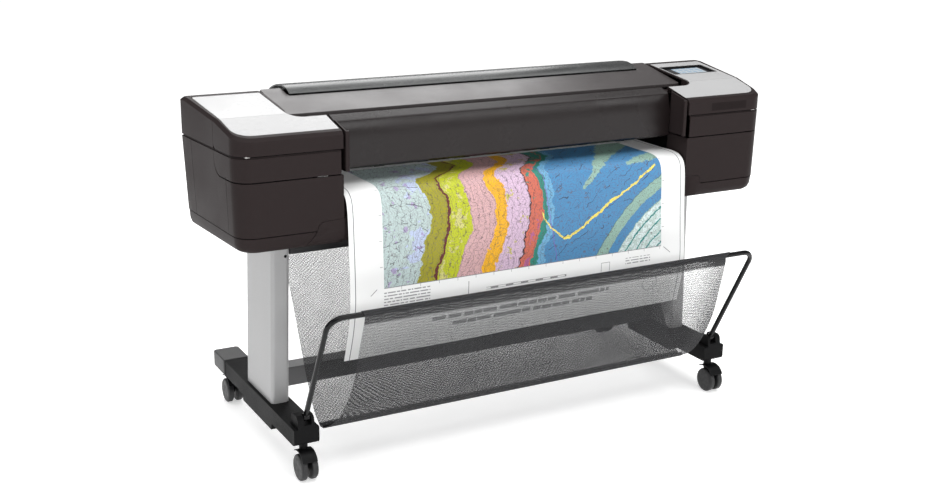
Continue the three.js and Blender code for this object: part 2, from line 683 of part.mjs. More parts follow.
// The guide under the mouth, with a wing at each end that lies in its housing's lower corner.
function outputGuide() {
  const nose = [[-208, 765], [-208, 781], [-240, 780], [-266, 774], [-284, 760], [-292, 742], [-294, 722]];
  const apron = [
    [-303.5, 716], [-303.5, 668], [-298, 657], [-284, 656], [-284, 700], [-282, 744], [-262, 762],
  ];
  const middle = prism('YZ', outline([...nose, ...apron]), 1.2 - MOUTH_HALF, MOUTH_HALF - 1.2);
  const face = ribbon([[-302, 722], [-302, 690], [-300, 668], [-293, 655]], 3);
  const wings = [RIGHT_WING, LEFT_WING].map((wing) => prism('XZ', outline(wing), -310, -284)
    .intersect(prism('YZ', face, -700, 700)));
  return middle.add(wings[0]).add(wings[1]);
}

function frontCover() {
  const face = ribbon([
    [-150, 956], [-172, 970.5], [-177, 972], [-209, 961.6], [-213.5, 957.5],
    [-227.6, 907.5], [-222.5, 836], [-212, 829.5], [-190, 829.5],
  ], 3);
  const end = outline([
    [-150, 955], [-176, 970.5], [-211, 958], [-226.4, 907], [-221.5, 836],
    [-205, 836], [-208, 900], [-196, 938], [-150, 942],
  ]);
  const rib = (x) => prism('YZ', end, x - 2, x + 2);
  return prism('YZ', face, -COVER_HALF, COVER_HALF).add(rib(COVER_HALF - 2)).add(rib(2 - COVER_HALF));
}

function topLid() {
  const top = (y) => LID.height + (y - LID.front) * LID_SLOPE;
  const [front, rear] = [-200, 100];
  const under = (drop) => prism('YZ', outline([
    [front, top(front) - drop], [rear, top(rear) - drop], [rear, 900], [front, 900],
  ]), -700, 700);
  const plan = (inset) => prism('XY', outline([
    [-LID.halfX + inset, LID.front + inset, 8, 3], [LID.halfX - inset, LID.front + inset, 8, 3],
    [LID.halfX - inset, LID.rear - inset, 6, 2], [LID.notchHalf + inset, LID.rear - inset],
    [LID.notchHalf + inset, LID.notchY - inset, 14, 4], [-LID.notchHalf - inset, LID.notchY - inset, 14, 4],
    [-LID.notchHalf - inset, LID.rear - inset], [-LID.halfX + inset, LID.rear - inset, 6, 2],
  ]), 800, 1100);
  const body = plan(0).intersect(under(0)).subtract(under(LID.lip));
  return body.subtract(plan(3).intersect(under(3.5)));
}

function rearCover() {
  const plate = box([-640, 640], [BACK + 0.6, BACK + 4.6], [697, 990]);
  const shelf = box([-564, 564], [20, BACK + 4.6], [984, 990]);
  const slot = box([-PAPER_HALF - 4, PAPER_HALF + 4], [BACK - 4, BACK + 9], [SHEET_Z - 9, SHEET_Z + 13]);
  return plate.add(shelf).subtract(slot);
}

// A curved cover over the roll; its front edge shows in the lid's notch.
function rollCover() {
  const line = smooth([
    [9, 1002], [24, 1010.5], [50, 1017], [80, 1017.5], [130, 1009],
    [190, 982], [238, 938], [262, 880], [266, 835],
  ], 14);
  return prism('YZ', ribbon(line, 4), -592, 592);
}

function buildMiddle() {
  const middle = new THREE.Group();
  add(middle, 'base_frame', baseFrame(), steel);
  add(middle, 'output_guide', outputGuide(), shellPlastic);
  add(middle, 'front_cover', frontCover(), shellPlastic);
  add(middle, 'top_lid', topLid(), lidPlastic);
  add(middle, 'rear_cover', rearCover(), shellPlastic);
  add(middle, 'roll_cover', rollCover(), blackPlastic);
  return middle;
}

// ---------------------------------------------------------------- paper path and carriage

function platen() {
  const plate = box([-562, 562], [-205, -80], [772, SHEET_Z - GAP]);
  const groove = (y) => box([-548, 548], side(y, 4), [SHEET_Z - 3, SHEET_Z + 2]);
  const web = box([-562, 562], [-150, -140], [697.6 + GAP, 773]);
  return [-185, -160, -135, -110].reduce((body, y) => body.subtract(groove(y)), plate).add(web);
}

function driveRoller() {
  const half = [[556, DRIVE_R], [556, 6], [566, 6], [566, 0]];
  const left = half.slice().reverse().map(([x, r]) => [-x, r]);
  return turned([...left, ...half], 20);
}

function pinchRoller() {
  const wheels = 8;
  const stations = [[-566, 0], [-566, 3]];
  for (let i = 0; i < wheels; i += 1) {
    const x = -490 + 140 * i;
    stations.push([x - 16, 3], [x - 16, PINCH_R], [x + 16, PINCH_R], [x + 16, 3]);
  }
  stations.push([566, 3], [566, 0]);
  return turned(stations, 12);
}

function carriageRail() {
  const half = 858;
  const beam = box([-half, half], [-26, 14], [868, 902]);
  const bracket = box([-half, half], [10, 51.4], [896, 902]);
  return beam.subtract(box([-half - 1, half + 1], [-22, 10], [872, 910])).add(bracket);
}

function carriage() {
  const profile = outline([
    [-176, 800, 6, 2], [-74, 800], [-60, 814], [-60, 834], [-29, 858], [-29, 906, 3, 2],
    [-60, 934, 6, 2], [-140, 934, 12, 3], [-176, 900, 8, 2],
  ]);
  const body = prism('YZ', profile, -65, 65);
  const clamp = box([-9, 9], [-32, -12], [904, 912]);
  return body.add(clamp);
}

// A toothed belt as a flat loop on edge behind the carriage.
function driveBelt() {
  const loop = (r) => rectangle(side(0, 840 + r), side(-8, r), r - 1, 4);
  return prism('XY', loop(9), 914, 922).subtract(prism('XY', loop(7.4), 910, 930));
}

function spindle() {
  const hub = [[560, 14], [560, 66], [572, 66], [572, 14]];
  const left = hub.slice().reverse().map(([x, r]) => [-x, r]);
  return turned([[-620, 0], [-620, 12], [-604, 12], ...left, ...hub, [604, 12], [620, 12], [620, 0]], 24);
}

function paperRoll() {
  const tube = [[-PAPER_HALF, CORE_R], [-PAPER_HALF, ROLL_R], [PAPER_HALF, ROLL_R], [PAPER_HALF, CORE_R]];
  return turned([...tube, tube[0]], 24);
}

function spindleHolder() {
  const [y, z] = ROLL_AXIS;
  const start = BACK + 4.6 + GAP;
  const plate = prism('YZ', outline([
    [start, z - 120], [start + 40, z - 120], [y + 34, z - 60, 20], [y + 34, z + 16, 8], [y + 22, z + 26, 4],
    [y - 22, z + 26, 4], [y - 40, z + 90, 12], [start, z + 110],
  ]), 598, 606);
  const slot = round('X', [y, z], 14, 590, 612, 16).add(box([590, 612], side(y, 14), [z, z + 60]));
  return plate.subtract(slot);
}

// The sheet: off the roll, over the platen, round the guide and down into the basket.
function paperSheet() {
  const z = SHEET_Z + SHEET_T / 2;
  const fall = smooth([
    [-215, z + 0.6], [-250, z + 0.5], [-279, z - 5], [-299, z - 20], [-308, z - 46], [-312, 704],
    [-315, 640], [-319, 520], [-320, 440], [-318, 372], [-313, 318],
  ], 26);
  return prism('YZ', ribbon([[ROLL_AXIS[0], z], [-190, z], ...fall], SHEET_T), -PAPER_HALF, PAPER_HALF);
}

function powerInlet() {
  const y = BACK + 4.6 + GAP;
  const block = box([-29, 29], [y, y + 7], [-16, 16]);
  const mouth = outline([[-12, -8.5], [12, -8.5], [12, 3], [6, 8.5], [-6, 8.5], [-12, 3]]);
  const pins = [-7, 0, 7].map((x) => box(side(x, 1.2), [y + 1, y + 6], [-2, 2]));
  return pins.reduce((body, pin) => body.add(pin), block.subtract(prism('XZ', mouth, y + 2, y + 9)));
}

function buildMechanism() {
  const mechanism = new THREE.Group();
  add(mechanism, 'platen', platen(), blackPlastic);
  const drive = add(mechanism, 'drive_roller', driveRoller(), rubber);
  drive.position.set(0, NIP_Y, SHEET_Z - DRIVE_R - 0.4);
  const pinch = add(mechanism, 'pinch_roller', pinchRoller(), rubber);
  pinch.position.set(0, NIP_Y + 4, SHEET_Z + SHEET_T + PINCH_R + 0.4);
  add(mechanism, 'carriage_rail', carriageRail(), steel);
  const head = add(mechanism, 'print_carriage', carriage(), blackPlastic);
  head.position.x = 690;
  add(mechanism, 'drive_belt', driveBelt(), rubber);
  const rod = add(mechanism, 'roll_spindle', spindle(), hubBlue);
  rod.position.set(0, ...ROLL_AXIS);
  const roll = add(mechanism, 'paper_roll', paperRoll(), paperWhite);
  roll.position.set(0, ...ROLL_AXIS);
  addPair(mechanism, 'spindle_holder', spindleHolder(), blackPlastic);
  add(mechanism, 'paper_sheet', paperSheet(), paperWhite);
  const inlet = add(mechanism, 'power_inlet', powerInlet(), blackPlastic);
  inlet.position.set(-470, 0, 736);
  return mechanism;
}

// ---------------------------------------------------------------- whole machine

const machine = new THREE.Group();
const frontmost = topBar()[0] - ROD_R - 3.6;
machine.position.y = -(frontmost + FOOT_HALF_L) / 2;
machine.add(buildStand(), buildBasket(), buildHousings(), buildMiddle(), buildMechanism());

const plotter = new THREE.Group();
plotter.add(machine);

export default plotter;
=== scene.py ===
"""The looks of a large format plotter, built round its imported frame. Metres, +Z up, -Y is the front."""

import math

import bmesh
import bpy
from mathutils import Matrix, Vector
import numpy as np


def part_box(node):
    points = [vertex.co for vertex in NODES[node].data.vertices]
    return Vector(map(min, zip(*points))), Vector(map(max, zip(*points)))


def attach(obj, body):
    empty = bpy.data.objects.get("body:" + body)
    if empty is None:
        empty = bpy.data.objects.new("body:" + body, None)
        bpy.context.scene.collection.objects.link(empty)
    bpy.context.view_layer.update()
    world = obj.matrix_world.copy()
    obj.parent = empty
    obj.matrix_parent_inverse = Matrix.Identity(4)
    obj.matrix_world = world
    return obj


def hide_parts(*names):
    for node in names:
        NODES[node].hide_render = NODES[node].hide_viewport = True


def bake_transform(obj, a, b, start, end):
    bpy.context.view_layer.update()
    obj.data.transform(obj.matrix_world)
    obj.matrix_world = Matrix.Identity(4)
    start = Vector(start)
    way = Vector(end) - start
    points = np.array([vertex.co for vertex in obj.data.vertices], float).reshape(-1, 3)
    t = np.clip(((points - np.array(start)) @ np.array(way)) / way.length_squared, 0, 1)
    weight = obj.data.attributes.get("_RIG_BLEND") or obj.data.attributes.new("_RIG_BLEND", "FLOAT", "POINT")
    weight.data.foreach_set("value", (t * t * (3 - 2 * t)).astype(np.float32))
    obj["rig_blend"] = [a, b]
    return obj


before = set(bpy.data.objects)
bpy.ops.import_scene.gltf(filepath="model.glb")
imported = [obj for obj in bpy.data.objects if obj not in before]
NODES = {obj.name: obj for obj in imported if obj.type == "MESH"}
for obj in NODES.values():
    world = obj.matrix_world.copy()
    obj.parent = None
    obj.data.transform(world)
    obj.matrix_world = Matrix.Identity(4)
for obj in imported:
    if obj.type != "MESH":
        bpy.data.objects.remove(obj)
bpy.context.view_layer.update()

# The stand's own middle line; heights and depths below are measured from it and from the floor.
Y0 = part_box("right_foot")[0].y + 0.3393
SHEET_HALF = 0.559          # half of a 44 inch roll's width
CLOTH_HALF = 0.602          # half of the front sheet of the basket's cloth
BACK_CLOTH_HALF = 0.626     # half of its back sheet
CAMERA_PLACE = (-1.8792, -3.3500, 1.6155)
CAMERA_TURN = (29.13, 16.53, 0.886)     # yaw, pitch and roll in degrees
CAMERA_LENS = 49.37         # on a 36 mm wide sensor
HANG_START = 0.390          # how far along the sheet it leaves the platen
SHEET_THICK = 0.00035
NET_PITCH = 0.0024          # from thread to thread
FLAT_BACK = 0.175           # where the sheet's flat stretch starts, behind the print line
FLAT_STEPS, HANG_STEPS = 10, 60
TAB_HALF, TAB_DEPTH, TAB_HEIGHT, TAB_INSET, TAB_GAP = 0.006, 0.012, 0.003, 0.004, 0.0002


# ------------------------------------------------------------------ camera

def make_camera():
    yaw, pitch, roll = (math.radians(turn) for turn in CAMERA_TURN)
    ahead = Vector((math.sin(yaw) * math.cos(pitch), math.cos(yaw) * math.cos(pitch), -math.sin(pitch)))
    side = Vector((math.cos(yaw), -math.sin(yaw), 0))
    up = side.cross(ahead)
    right = side * math.cos(roll) + up * math.sin(roll)
    top = up * math.cos(roll) - side * math.sin(roll)
    data = bpy.data.cameras.new("camera")
    data.lens = CAMERA_LENS
    data.sensor_width = 36.0
    data.clip_start, data.clip_end = 0.1, 100
    camera = bpy.data.objects.new("camera", data)
    bpy.context.scene.collection.objects.link(camera)
    camera.matrix_world = Matrix((
        (right.x, top.x, -ahead.x, CAMERA_PLACE[0]),
        (right.y, top.y, -ahead.y, CAMERA_PLACE[1] + Y0),
        (right.z, top.z, -ahead.z, CAMERA_PLACE[2]),
        (0, 0, 0, 1)))
    bpy.context.scene.camera = camera


# ------------------------------------------------------------------ shader helpers

class Value:
    """A number or a socket in a node tree, with sums written as in plain Python."""

    def __init__(self, paint, source):
        self.paint, self.source = paint, source

    def _math(self, kind, *others):
        node = self.paint.add("ShaderNodeMath", operation=kind)
        for socket, item in zip(node.inputs, (self, *others)):
            self.paint.feed(socket, item)
        return Value(self.paint, node.outputs[0])

    def __add__(self, other): return self._math("ADD", other)
    def __sub__(self, other): return self._math("SUBTRACT", other)
    def __mul__(self, other): return self._math("MULTIPLY", other)
    def __truediv__(self, other): return self._math("DIVIDE", other)
    def __lt__(self, other): return self._math("LESS_THAN", other)
    def __gt__(self, other): return self._math("GREATER_THAN", other)
    def __radd__(self, other): return self + other
    def __rmul__(self, other): return self * other
    def __rsub__(self, other): return self * -1.0 + other
    def __neg__(self): return self * -1.0
    def abs(self): return self._math("ABSOLUTE")
    def sin(self): return self._math("SINE")
    def frac(self): return self._math("FRACT")
    def floor(self): return self._math("FLOOR")
    def sqrt(self): return self._math("SQRT")
    def wave(self, pitch): return (self * (math.tau / pitch)).sin()
    def least(self, other): return self._math("MINIMUM", other)
    def most(self, other): return self._math("MAXIMUM", other)

    def within(self, low, high):
        """1 between two values, else 0."""
        return (self > low) * (self < high)

    def ramp(self, low, high, start=0.0, end=1.0):
        """Runs smoothly from start to end as the value goes from low to high."""
        node = self.paint.add("ShaderNodeMapRange", interpolation_type="SMOOTHSTEP")
        keys = ("Value", "From Min", "From Max", "To Min", "To Max")
        for key, item in zip(keys, (self, low, high, start, end)):
            self.paint.feed(node.inputs[key], item)
        return Value(self.paint, node.outputs[0])


class Paint:
    """One material's node tree."""

    def __init__(self, name, roughness=0.5, metallic=0.0, **numbers):
        self.material = bpy.data.materials.new(name)
        self.material.use_nodes = True
        self.tree = self.material.node_tree
        self.shader = self.tree.nodes["Principled BSDF"]
        self.set("Roughness", roughness)
        self.set("Metallic", metallic)
        for key, number in numbers.items():
            self.set(key.replace("_", " "), number)

    def add(self, kind, **settings):
        node = self.tree.nodes.new(kind)
        for key, setting in settings.items():
            setattr(node, key, setting)
        return node

    def feed(self, socket, item):
        if isinstance(item, Value):
            item = item.source
        if isinstance(item, bpy.types.NodeSocket):
            self.tree.links.new(item, socket)
        elif socket.type == "RGBA" and not isinstance(item, (int, float)):
            socket.default_value = (*item[:3], 1.0)
        else:
            socket.default_value = item

    def set(self, key, item):
        self.feed(self.shader.inputs[key], item)

    def attribute(self, name):
        return Value(self, self.add("ShaderNodeAttribute", attribute_name=name).outputs["Fac"])

    def place(self):
        """The surface point as three values and as one vector, in metres."""
        if not hasattr(self, "_place"):
            point = self.add("ShaderNodeTexCoord").outputs["Object"]
            split = self.add("ShaderNodeSeparateXYZ")
            self.feed(split.inputs[0], point)
            self._place = (*(Value(self, s) for s in split.outputs), point)
        return self._place

    def vector(self, *items):
        node = self.add("ShaderNodeCombineXYZ")
        for socket, item in zip(node.inputs, items):
            self.feed(socket, item)
        return node.outputs[0]

    def noise(self, scale, detail=3.0, roughness=0.55, vector=None):
        node = self.add("ShaderNodeTexNoise")
        self.feed(node.inputs["Vector"], vector or self.place()[3])
        for key, item in (("Scale", scale), ("Detail", detail), ("Roughness", roughness)):
            node.inputs[key].default_value = item
        return Value(self, node.outputs["Fac"])

    def cells(self, scale, vector=None):
        node = self.add("ShaderNodeTexVoronoi", feature="F1")
        self.feed(node.inputs["Vector"], vector or self.place()[3])
        node.inputs["Scale"].default_value = scale
        node.inputs["Randomness"].default_value = 1.0
        return Value(self, node.outputs["Distance"])

    def mix(self, share, a, b):
        node = self.add("ShaderNodeMix", data_type="RGBA", blend_type="MIX")
        self.feed(node.inputs["Factor"], share)
        self.feed(node.inputs["A"], a)
        self.feed(node.inputs["B"], b)
        return node.outputs["Result"]

    def bump(self, height, depth, strength=1.0):
        node = self.add("ShaderNodeBump")
        node.inputs["Strength"].default_value = strength
        node.inputs["Distance"].default_value = depth
        self.feed(node.inputs["Height"], height)
        self.feed(self.shader.inputs["Normal"], node.outputs[0])

    def shade(self, base, amount, share):
        """The base colour, darker and lighter by an amount, as a value from 0 to 1 says."""
        dark = [c * (1 - amount) for c in base]
        light = [min(1.0, c * (1 + amount)) for c in base]
        return self.mix(share, dark, light)


def plastic(name, base, roughness, grain=1800, depth=0.00006, vary=0.08,
            mark=None, marked=(0, 0, 0), **numbers):
    """Moulded plastic: fine grain, faint cloudiness, uneven gloss and perhaps one place of another colour."""
    paint = Paint(name, roughness, **numbers)
    cloud = paint.noise(6, 4)
    fine = paint.noise(grain, 2)
    colour = paint.shade(base, vary, cloud * 0.7 + fine * 0.3)
    if mark:
        colour = paint.mix(mark(paint), colour, marked)
    paint.set("Base Color", colour)
    paint.set("Roughness", cloud.ramp(0.3, 0.7, roughness - 0.04, roughness + 0.05) + (fine - 0.5) * 0.06)
    paint.bump(fine + paint.cells(grain * 0.6) * 0.5, depth)
    return paint.material


def coated_metal(name, base, roughness, metallic=0.0, peel=420, depth=0.00005, vary=0.05, **numbers):
    """Powder coat or paint on steel: orange peel and a few darker specks."""
    paint = Paint(name, roughness, metallic, **numbers)
    peel_noise = paint.noise(peel, 2)
    specks = paint.noise(1600, 1).ramp(0.66, 0.74)
    base_colour = paint.shade(base, vary, paint.noise(4, 3))
    paint.set("Base Color", paint.mix(specks * 0.25, base_colour, [c * 0.6 for c in base]))
    paint.set("Roughness", peel_noise.ramp(0.3, 0.7, roughness - 0.05, roughness + 0.05))
    paint.bump(peel_noise, depth)
    return paint.material


def framed(node_name, x_range, axis, other_range, line=None):
    """For plastic(): marks a rectangle on a node, or only its outline, given in the shared frame."""
    shift = NODES[node_name].matrix_world.translation
    def mark(paint):
        place = paint.place()
        x, other = place[0] + shift.x, place[axis] + shift[axis]
        inside = x.within(*x_range) * other.within(*other_range)
        if line:
            inner = x.within(x_range[0] + line, x_range[1] - line)
            inside = inside - inner * other.within(other_range[0] + line, other_range[1] - line)
        return inside
    return mark


def rubber(name, base, roughness=0.7):
    paint = Paint(name, roughness)
    scuff = paint.noise(90, 5, 0.65)
    fine = paint.noise(2400, 2)
    paint.set("Base Color", paint.shade(base, 0.3, scuff))
    paint.set("Roughness", scuff.ramp(0.35, 0.65, roughness - 0.1, roughness + 0.1))
    paint.bump(fine + scuff, 0.00012)
    return paint.material


def mesh_cloth(name, base, top_cover, bottom_cover, reach, tilt, gathered=0.0):
    """Open warp-knit net of crossing threads, whose uneven tension shows as fine ridges."""
    paint = Paint(name, 0.62, Specular_IOR_Level=0.3)
    across, along = paint.attribute("across"), paint.attribute("along")
    drift = (paint.noise(9, 3) - 0.5) * 0.0011
    first = ((across + along + drift) * (math.tau / NET_PITCH)).sin().abs()
    second = ((across - along + drift) * (math.tau / NET_PITCH)).sin().abs()
    thread = first.least(second)
    swell = (paint.noise(3.5, 2) - 0.5) * 0.060
    ridge = (across * tilt + along + swell).wave(0.0085) * 0.6
    ridge = ridge + (across * tilt - along - swell).wave(0.0095) * 0.6
    cover = along.ramp(0.0, reach, top_cover, bottom_cover) + across.ramp(0.50, 0.60, 0.0, gathered)
    limit = cover + ridge * 0.12 + (paint.noise(20, 3) - 0.5) * 0.12 + paint.attribute("doubled") * 0.5
    paint.set("Alpha", (thread - limit).ramp(0.10, -0.10))
    paint.set("Base Color", paint.shade(base, 0.35, ridge * 0.4 + 0.5))
    paint.bump(thread + ridge * 0.3, 0.0003)
    return paint.material


# ------------------------------------------------------------------ mesh helpers

def new_object(name, mesh, body):
    piece = bpy.data.objects.new(name, mesh)
    bpy.context.scene.collection.objects.link(piece)
    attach(piece, body)
    return piece


def from_bmesh(name, bm, material):
    mesh = bpy.data.meshes.new(name)
    bm.normal_update()
    bm.to_mesh(mesh)
    bm.free()
    mesh.materials.append(material)
    return mesh


def soften(piece, width, angle=32, segments=2):
    """Rounds a piece's sharp edges and shades it smoothly."""
    for polygon in piece.data.polygons:
        polygon.use_smooth = True
    bevel = piece.modifiers.new("edges", "BEVEL")
    bevel.width, bevel.segments = width, segments
    bevel.limit_method, bevel.angle_limit = "ANGLE", math.radians(angle)
    bevel.miter_outer = "MITER_ARC"
    weighted = piece.modifiers.new("shading", "WEIGHTED_NORMAL")
    weighted.weight = 80
    weighted.keep_sharp = False


def dress(material, width, *nodes, angle=32):
    """Gives CAD nodes their material and rounded edges; their shapes stay as packed."""
    for name in nodes:
        node = NODES[name]
        for slot in node.material_slots:
            slot.material = material
        for attribute in ("custom_normal", "sharp_edge", "sharp_face"):
            if attribute in node.data.attributes:
                node.data.attributes.remove(node.data.attributes[attribute])
        node.modifiers.new("joined", "WELD").merge_threshold = 1e-5
        flat = node.modifiers.new("flats", "DECIMATE")
        flat.decimate_type, flat.angle_limit = "DISSOLVE", math.radians(0.4)
        soften(node, width, angle)


def both(*names):
    return [f"{hand}_{name}" for name in names for hand in ("right", "left")]


def spaced(points, count):
    """Points evenly spaced along a smooth curve through the given ones, and the curve's length."""
    fine = []
    padded = [points[0], *points, points[-1]]
    for i in range(1, len(padded) - 2):
        a, b, c, d = (Vector(p) for p in padded[i - 1:i + 3])
        for k in range(24):
            t = k / 24
            fine.append(0.5 * (2 * b + (c - a) * t + (2 * a - 5 * b + 4 * c - d) * t * t
                               + (3 * b - a - 3 * c + d) * t ** 3))
    fine.append(Vector(points[-1]))
    reached = [0.0]
    for before, after in zip(fine, fine[1:]):
        reached.append(reached[-1] + (after - before).length)
    found, at = [], 0
    for k in range(count + 1):
        target = reached[-1] * k / count
        while at < len(fine) - 2 and reached[at + 1] < target:
            at += 1
        share = (target - reached[at]) / max(reached[at + 1] - reached[at], 1e-12)
        found.append(fine[at].lerp(fine[at + 1], min(share, 1.0)))
    return found, reached[-1]


def strip(name, path, half, columns, material, shape=None, doubled=()):
    """A sheet that follows a side view path, with how far across and along each point is."""
    line, length = path
    bm = bmesh.new()
    layers = {key: bm.verts.layers.float.new(key) for key in ("across", "along", "doubled")}
    rows = []
    for j, (y, z) in enumerate(line):
        along = length * j / (len(line) - 1)
        row = []
        for i in range(columns + 1):
            x = half * (2 * i / columns - 1)
            dx, dy, dz = shape(x, along, length) if shape else (0, 0, 0)
            vert = bm.verts.new((x + dx, y + Y0 + dy, z + dz))
            vert[layers["across"]] = x
            vert[layers["along"]] = along
            vert[layers["doubled"]] = float(any(a <= along <= b for a, b in doubled))
            row.append(vert)
        rows.append(row)
    for a, b in zip(rows, rows[1:]):
        for i in range(columns):
            bm.faces.new((a[i], a[i + 1], b[i + 1], b[i])).smooth = True
    mesh = from_bmesh(name, bm, material)
    piece = bpy.data.objects.new(name, mesh)
    bpy.context.scene.collection.objects.link(piece)
    return piece


def block(name, low, high, body, material, bevel):
    """A small box between two corners, with softened edges."""
    bm = bmesh.new()
    corners = [(low[0], low[1]), (high[0], low[1]), (high[0], high[1]), (low[0], high[1])]
    face = bm.faces.new([bm.verts.new((x, y, high[2])) for x, y in corners])
    extruded = bmesh.ops.extrude_face_region(bm, geom=[face])
    down = [v for v in extruded["geom"] if isinstance(v, bmesh.types.BMVert)]
    bmesh.ops.translate(bm, vec=(0, 0, low[2] - high[2]), verts=down)
    bmesh.ops.recalc_face_normals(bm, faces=bm.faces)
    piece = new_object(name, from_bmesh(name, bm, material), body)
    soften(piece, bevel)


# ------------------------------------------------------------------ materials

SHELL = plastic("charcoal_plastic", (0.0230, 0.0172, 0.0172), 0.38, vary=0.06, Specular_IOR_Level=0.045)
LID = plastic(
    "lid_plastic", (0.040, 0.034, 0.034), 0.33, vary=0.05, Specular_IOR_Level=0.42,
    mark=framed("top_lid", (-0.458, 0.458), 1, (Y0 - 0.036, Y0 + 0.060), 0.0016),
    marked=(0.008, 0.007, 0.007))
LABELLED = plastic(
    "labelled_plastic", (0.0230, 0.0172, 0.0172), 0.38, vary=0.06, Specular_IOR_Level=0.045,
    mark=framed("right_ink_cover", (0.652, 0.786), 2, (0.914, 0.938)), marked=(0.014, 0.010, 0.010))
COVER = plastic("cover_plastic", (0.0120, 0.0086, 0.0086), 0.28, vary=0.06, Specular_IOR_Level=0.24)
BLACK = plastic("black_plastic", (0.004, 0.004, 0.0045), 0.42, depth=0.0001, Specular_IOR_Level=0.15)
ROLL_COVER = plastic("roll_cover_plastic", (0.020, 0.022, 0.022), 0.24, vary=0.2, Specular_IOR_Level=0.5)
FOOT = plastic(
    "foot_plastic", (0.007, 0.007, 0.0074), 0.48, depth=0.00015, grain=1300, Specular_IOR_Level=0.06)
CAP = plastic("end_cap_plastic", (0.040, 0.040, 0.041), 0.5, depth=0.00012, grain=1300)
SILVER = plastic(
    "silver_plastic", (0.40, 0.40, 0.402), 0.3, grain=2600, depth=0.00003, vary=0.03, Specular_IOR_Level=0.34)
LEG = coated_metal("leg_coat", (0.345, 0.345, 0.347), 0.40, 0.1)
BAR_PAINT = coated_metal("crossbar_coat", (0.15, 0.15, 0.153), 0.45, 0.1)
FRAME_PAINT = coated_metal("frame_coat", (0.010, 0.010, 0.011), 0.5)
ROD = coated_metal(
    "rod_paint", (0.003, 0.003, 0.0035), 0.20, peel=200, depth=0.00003, Specular_IOR_Level=0.22)
TYRE = rubber("tyre_rubber", (0.010, 0.010, 0.011), 0.5)
# Painted highlight: the pale colour of the small blocks that stand in for glints in the ink cover grooves.
HIGHLIGHT_PALE = plastic("painted_highlight", (0.42, 0.41, 0.40), 0.4)
NET_BACK = mesh_cloth("basket_net_back", (0.026, 0.026, 0.028), 0.72, 0.60, 0.5, tilt=0.8)
NET_FRONT = mesh_cloth("basket_net_front", (0.022, 0.022, 0.024), 0.40, 0.62, 0.40, tilt=0.12, gathered=0.26)


def paper_material():
    paint = Paint("plain_paper", 0.62)
    fibre = paint.noise(900, 4, 0.7)
    paint.set("Base Color", paint.shade((0.86, 0.86, 0.85), 0.03, fibre))
    paint.bump(fibre, 0.00004)
    return paint.material


MAP_X = (-0.459, 0.471)       # the printed area's sides, from the sheet's middle line
MAP_FOOT = 0.345              # its lower edge, measured down the sheet from the platen's edge

# The map's bands from left to right: where each starts along its lower edge, and its colour.
MAP_BANDS = [
    (-0.560, (0.48, 0.59, 0.575)), (-0.356, (0.335, 0.315, 0.011)), (-0.303, (0.115, 0.018, 0.010)),
    (-0.296, (0.50, 0.55, 0.011)), (-0.232, (0.64, 0.40, 0.40)), (-0.149, (0.84, 0.43, 0.007)),
    (-0.110, (0.65, 0.48, 0.62)), (-0.036, (0.055, 0.02, 0.014)), (-0.031, (0.60, 0.145, 0.085)),
    (0.005, (0.016, 0.23, 0.17)), (0.023, (0.145, 0.39, 0.60)), (0.048, (0.066, 0.245, 0.46)),
]


def colour_bands(paint, band):
    """Constant colours along a value, from MAP_BANDS."""
    node = paint.add("ShaderNodeValToRGB")
    ramp = node.color_ramp
    ramp.interpolation = "CONSTANT"
    while len(ramp.elements) < len(MAP_BANDS):
        ramp.elements.new(0.5)
    for element, (at, colour) in zip(ramp.elements, MAP_BANDS):
        element.position = (at + 0.56) / 1.12
        element.color = (*colour, 1.0)
    paint.feed(node.inputs[0], (band + 0.56) / 1.12)
    return node.outputs[0]


